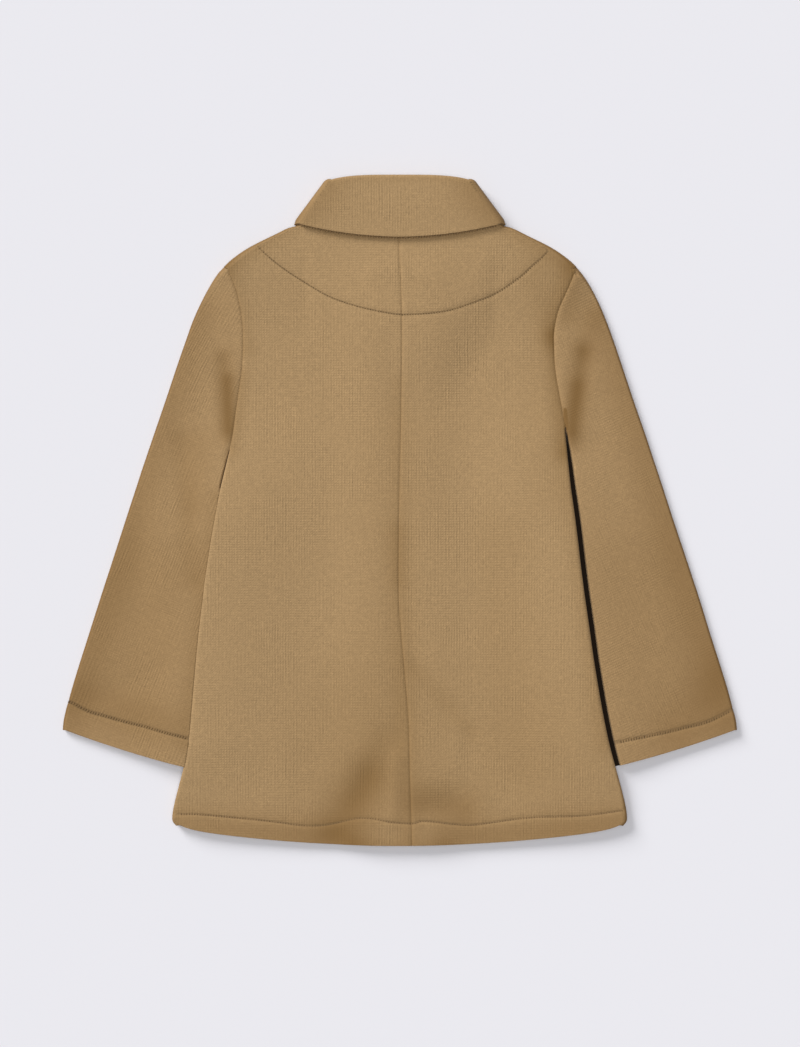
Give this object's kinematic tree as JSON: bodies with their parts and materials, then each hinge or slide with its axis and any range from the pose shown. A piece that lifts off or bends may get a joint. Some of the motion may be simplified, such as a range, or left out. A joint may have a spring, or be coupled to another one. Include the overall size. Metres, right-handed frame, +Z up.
{
  "type": "bell-sleeve coat",
  "caption": "Child's knitted coat with flared sleeves and a turned-down collar, laid flat on its front with its back up.",
  "frame": {"origin": "on the surface the coat lies on, under the middle of its box", "axes": "+Z up from the surface to the coat's back, +Y towards the collar, +X to the wearer's right as the back is seen"},
  "size_m": [0.5814, 0.577, 0.0147],
  "materials": {
    "body_knit": "matt camel-brown fine rib knit with a soft nap",
    "sleeve_knit": "the same knit, a little darker where the sleeves slope away",
    "collar_knit": "the same knit, two plies"
  },
  "bodies": {
    "root": {"back_left": "body_knit", "back_right": "body_knit", "front_left": "body_knit", "front_right": "body_knit", "sleeve_left": "sleeve_knit", "sleeve_right": "sleeve_knit", "collar": "collar_knit"}
  },
  "joints": []
}
